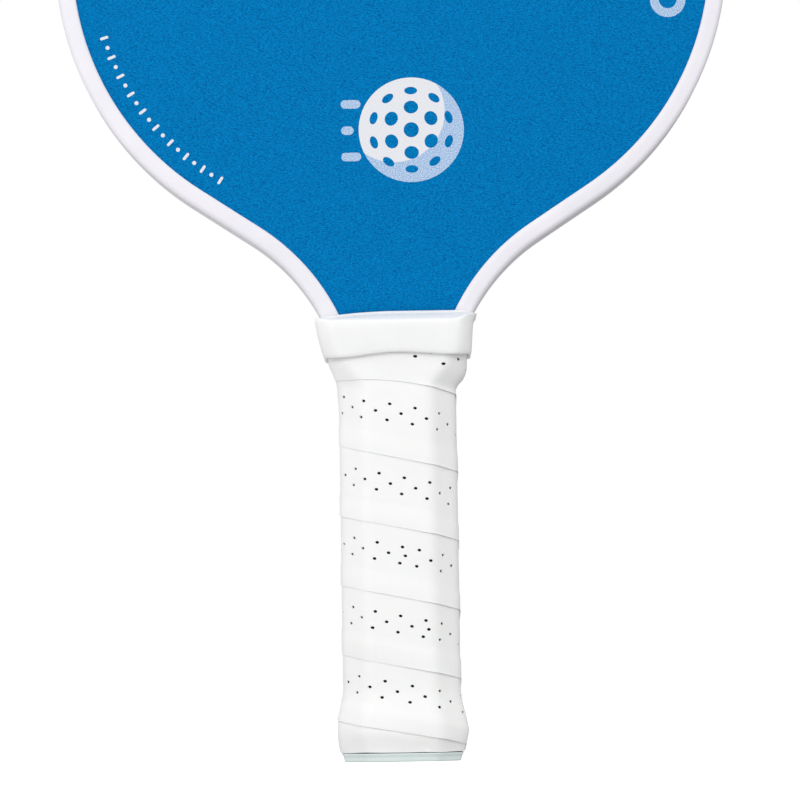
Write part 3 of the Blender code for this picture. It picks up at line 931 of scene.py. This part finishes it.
def punch(shape, outer, inner, s, t):
    """One hole through a cell, with a slightly sunken rim, joined to the cell's corners."""
    rings = []
    for outside, swell, sink in HOLE_RINGS:
        ring = []
        for k in range(HOLE_SIDES):
            angle = math.tau * (k - 0.5) / HOLE_SIDES - math.pi * 3 / 4
            hole_s = s + swell * HOLE_LONG * math.cos(angle)
            hole_t = t + swell * HOLE_ACROSS * math.sin(angle)
            ring.append(shape.verts.new(tape_point(hole_s, hole_t, outside, sink)))
        rings.append(ring)
    for corners, ring, flip in ((outer, rings[0], False), (inner, rings[2], True)):
        for q in range(4):
            here, after = corners[q], corners[(q + 1) % 4]
            a, b, c = ring[2 * q], ring[2 * q + 1], ring[(2 * q + 2) % HOLE_SIDES]
            for face in ((here, after, b, a), (after, c, b)):
                shape.faces.new(tuple(reversed(face)) if flip else face)
    for low, high in zip(rings, rings[1:]):
        for k in range(HOLE_SIDES):
            m = (k + 1) % HOLE_SIDES
            shape.faces.new((low[k], low[m], high[m], high[k]))


# ---- collar and butt cap -------------------------------------------------------------------------
def collar_ring(z, left, right, depth, corner, sag, tip, fall, radius):
    """A rounded octagon round the collar, wider to the left or to the right.

    sag is how much of the foot's scallop it takes, tip lifts its right end, fall lowers its left.
    """
    half = (left + right) / 2
    points = []
    for i in range(COLLAR_POINTS):
        x, y, _, _ = round_octagon((half, depth, corner, corner * 0.92), i / COLLAR_POINTS, radius)
        share = x / half
        turn = math.tau * i / COLLAR_POINTS
        scallop = SCALLOP_LEFT if x < 0 else SCALLOP_RIGHT
        low = sag * (scallop[0] * math.sin(turn) ** 2 + scallop[1] * math.sin(2 * turn) ** 2)
        low += fall * min(share, 0.0) ** 2
        x *= (right if x > 0 else left) / half
        lift = smooth((share - 0.72) / 0.26) + 0.4 * smooth((-share - 0.8) / 0.2)
        points.append((x, y, z - low + tip * lift))
    return points


def build_collar(paint):
    """A stretched rubber band: a rolled foot, a flared wall, and a shoulder up to the blade."""
    foot, edge, lip = COLLAR_FOOT_Z, COLLAR_EDGE_Z, COLLAR_LIP_Z
    levels = (
        # z, left, right, depth, corner, sag, tip, fall, radius
        (foot + 0.45, 20.95, 21.60, 14.55, 4.8, 1.0, 0.0, 0.0, 4.2),
        (foot + 0.08, 21.20, 21.90, 14.95, 4.8, 1.0, 0.0, 0.0, 4.2),
        (foot, 21.45, 22.10, 15.30, 4.7, 1.0, 0.0, 0.0, 4.3),
        (foot + 0.12, 21.75, 22.35, 15.62, 4.6, 1.0, 0.0, 0.0, 4.4),
        (foot + 0.45, 21.95, 22.45, 15.84, 4.5, 1.0, 0.0, 0.0, 4.4),
        (foot + 1.2, 22.20, 22.52, 15.95, 4.3, 0.9, 0.0, 0.0, 4.4),
        (foot + 3.4, 23.00, 22.68, 15.95, 4.0, 0.6, 0.0, 0.0, 4.4),
        (foot + 5.8, 23.75, 22.85, 15.85, 3.8, 0.3, 0.0, 0.0, 4.4),
        (edge - 1.8, 24.20, 23.05, 15.75, 3.8, 0.1, 0.2, 0.0, 4.3),
        (edge - 0.8, 24.45, 23.30, 15.70, 3.7, 0.0, 0.7, 0.0, 4.2),
        (edge - 0.3, 24.48, 23.75, 15.60, 3.6, 0.0, 1.2, 0.0, 4.0),
        (edge, 24.40, 24.20, 15.30, 3.5, 0.0, 1.5, 0.0, 3.8),
        (edge + 0.2, 24.20, 24.20, 14.90, 3.4, 0.0, 1.5, 0.0, 3.6),
        (edge + 0.6, 23.98, 24.00, 14.20, 3.2, 0.0, 1.2, 0.2, 3.2),
        (edge + 1.1, 23.70, 23.72, 13.10, 3.0, 0.0, 0.8, 0.6, 2.7),
        (edge + 1.6, 23.45, 23.50, 11.70, 2.8, 0.0, 0.4, 1.1, 2.1),
        (edge + 1.9, 23.30, 23.34, 10.50, 2.5, 0.0, 0.2, 1.5, 1.6),
        (edge + 2.05, 23.18, 23.22, 9.80, 2.4, 0.0, 0.1, 1.6, 1.2),
        (edge + 2.2, 23.10, 23.15, 9.55, 2.3, 0.0, 0.0, 1.7, 1.0),
        (lip - 0.25, 23.05, 23.10, 9.35, 2.2, 0.0, 0.0, 1.6, 0.9),
        (lip, 22.92, 22.98, 9.05, 2.1, 0.0, 0.0, 1.6, 0.8),
        (lip - 0.1, 22.80, 22.85, 8.60, 2.0, 0.0, 0.0, 1.6, 0.8),
        (edge - 0.8, 22.80, 22.85, 9.40, 2.4, 0.0, 0.0, 0.0, 1.0),
        (edge - 1.5, 22.95, 22.75, 12.50, 3.2, 0.0, 0.0, 0.0, 2.4),
        (edge - 2.4, 22.95, 22.55, 14.60, 3.6, 0.1, 0.0, 0.0, 3.6),
        (foot + 4.0, 21.90, 21.95, 14.75, 3.7, 0.6, 0.0, 0.0, 4.2),
    )
    sections = [collar_ring(*level) for level in levels]
    collar = loft("rubber_collar", paint, sections, cyclic=True, angle=60)
    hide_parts("grip_collar")


def build_cushion(paint):
    """The foam sleeve under the tape: rounded ends, a soft uneven wall and a seam up the back."""
    low, high, gap = SLEEVE_FOOT_Z, STATIONS[3][0], 0.1
    heights = [low, low + SLEEVE_ROUND]
    heights += [low + SLEEVE_ROUND + SLEEVE_STEP * k for k in range(1, 40)]
    heights += [high - SLEEVE_ROUND, high]
    outer, inner = [], []
    for z in heights:
        end = SLEEVE_ROUND * (z in (low, high))
        inset = gap + SLEEVE_WALL - end / 2
        ring = []
        for i in range(RING_POINTS):
            x, y, nx, ny = round_octagon(size_at(z), i / RING_POINTS)
            seam = 0.35 * hump((i / RING_POINTS - 0.5) * RING_POINTS, 0.0, 1.2)
            uneven = 0.10 * abs(noise.noise((x / 5.0, y / 5.0, z / 6.0)))
            dent = gap + uneven + seam + end
            ring.append((x - nx * dent, y - ny * dent, z))
        outer.append(ring)
        inner.append(handle_ring(z, -inset))
    sleeve = loft("foam_cushion_sleeve", paint, outer + inner[::-1], cyclic=True)
    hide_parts("cushion_sleeve")


def build_butt_cap(paint):
    """The moulded cap: a dished end, a bevelled rim that shows under the tape, and a skirt."""
    foot = [value - drop for value, drop in zip(size_at(TAPE_FOOT_Z), (0.35, 0.5, 0.0, 0.1))]
    rim, straight = size_at(CAP_RIM_Z), size_at(CAP_TOP_Z)
    end = (  # height and how far it stands off the foot's outline
        (0.9, -11.2), (0.9, -5.6), (0.75, -5.25), (0.15, -4.9), (0.0, -4.6),
        (0.0, -0.5), (0.08, -0.22), (0.3, -0.04), (0.5, 0.02), (1.2, 0.16), (1.6, 0.24),
    )
    bead = ((2.1, 0.30), (2.5, 0.40), (CAP_RIM_Z, 0.34))
    sections = [handle_ring(z, grow, foot, CAP_ROUND) for z, grow in end]
    sections += [handle_ring(z, grow, rim, CAP_ROUND) for z, grow in bead]
    skirt = (2.5, 5.0, 7.0, 9.0, 12.0, 15.0, 18.0, CAP_TOP_Z)
    sections += [handle_ring(z, SKIRT_OUTER) for z in skirt]
    sections += [handle_ring(z, SKIRT_INNER, straight) for z in (CAP_TOP_Z, CAP_RIM_Z)]
    cap = loft("butt_cap_moulding", paint, sections, angle=50)
    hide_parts("butt_cap")


# ---- stage, in metres ----------------------------------------------------------------------------
FLOOR_GLOW_TO, FLOOR_GLOW_REACH = (-0.83, -0.56, 0), 0.25
FLOOR_DIM, FLOOR_BRIGHT = 0.03, 0.50
WORLD_BRIGHT_TO = (-0.05, -0.94, 0.31)
WORLD_DIM, WORLD_BRIGHT = 0.33, 1.20
LIGHTS = (("key", (-0.4, -1.5, 0.8), 5.2), ("back_fill", (0.25, 1.6, 0.9), 6.0))  # power in watts
LIGHT_SIZE, LIGHT_AIM = 0.8, (0, 0, 0.2)
CAMERA_AT, CAMERA_AIM = (0.0, -1.342, 0.0243), (0.00075, 0.0, 0.1089)
CAMERA_LENS_MM, CAMERA_ROLL = 200.0, -0.88  # roll in degrees


def build_stage():
    """A pale floor, white where it is seen; as light it glows towards the left front."""
    bpy.ops.mesh.primitive_plane_add(size=8.0, location=(0, 0, 0))
    floor = bpy.context.object
    floor.name = "studio_floor"
    made, tree, shader, place = start_material("pale_floor")
    soft = ramp(tree, noise_at(tree, place, 400.0, 2.0), 0.3, 0.7)
    towards = add(tree, "VectorMath", {0: place, 1: FLOOR_GLOW_TO}, operation="DOT_PRODUCT")
    reach = FLOOR_GLOW_REACH
    glow = ramp(tree, towards.outputs["Value"], -reach, reach, FLOOR_DIM, FLOOR_BRIGHT)
    seen = add(tree, "LightPath").outputs["Is Camera Ray"]
    set_inputs(tree, shader, {
        "Base Color": blend_colours(tree, soft, (0.31, 0.31, 0.31, 1), (0.29, 0.29, 0.29, 1)),
        "Roughness": 0.9,
        "Specular IOR Level": 0.1,
        "Emission Color": (1, 1, 1, 1),
        "Emission Strength": math_node(tree, "ADD", glow, seen),
    })
    floor.data.materials.append(made)


def build_world():
    """White where it is seen; as light it is brightest from the front."""
    world = bpy.data.worlds.new("studio")
    world.use_nodes = True
    tree = world.node_tree
    tree.nodes.clear()
    direction = add(tree, "TexCoord").outputs["Generated"]
    inputs = {0: direction, 1: WORLD_BRIGHT_TO}
    towards = add(tree, "VectorMath", inputs, operation="DOT_PRODUCT").outputs["Value"]
    strength = ramp(tree, towards, -1.0, 1.0, WORLD_DIM, WORLD_BRIGHT)
    unseen = add(tree, "Background", {"Color": (1, 1, 1, 1), "Strength": strength})
    seen = add(tree, "Background", {"Color": (1, 1, 1, 1), "Strength": 1.0})
    is_seen = add(tree, "LightPath").outputs["Is Camera Ray"]
    mixed = add(tree, "MixShader", {0: is_seen, 1: unseen.outputs[0], 2: seen.outputs[0]})
    output = add(tree, "OutputWorld")
    tree.links.new(mixed.outputs[0], output.inputs[0])
    bpy.context.scene.world = world


def build_lights():
    """A soft light from the front and one from the back, both aimed at the throat."""
    for name, place, power in LIGHTS:
        data = bpy.data.lights.new(name, "AREA")
        data.shape = "DISK"
        data.size = LIGHT_SIZE
        data.energy = power
        light = bpy.data.objects.new(name, data)
        bpy.context.scene.collection.objects.link(light)
        light.location = place
        towards = Vector(LIGHT_AIM) - Vector(place)
        light.rotation_euler = towards.to_track_quat("-Z", "Y").to_euler()


def build_camera():
    """Square on to the front, a little above the butt's height, and tilted up."""
    data = bpy.data.cameras.new("camera")
    data.lens = CAMERA_LENS_MM
    data.sensor_width = 36.0
    camera = bpy.data.objects.new("camera", data)
    bpy.context.scene.collection.objects.link(camera)
    camera.location = CAMERA_AT
    towards = Vector(CAMERA_AIM) - camera.location
    camera.rotation_euler = towards.to_track_quat("-Z", "Y").to_euler()
    camera.rotation_euler.rotate_axis("Z", math.radians(CAMERA_ROLL))
    bpy.context.scene.camera = camera


def main():
    bpy.context.scene.view_settings.view_transform = "Standard"
    build_camera()
    paint_solids()
    build_guard(guard_material())
    build_prints()
    build_butt_cap(cap_material())
    build_cushion(foam_material())
    build_tape(grip_material())
    build_collar(collar_material())
    build_stage()
    build_world()
    build_lights()


main()
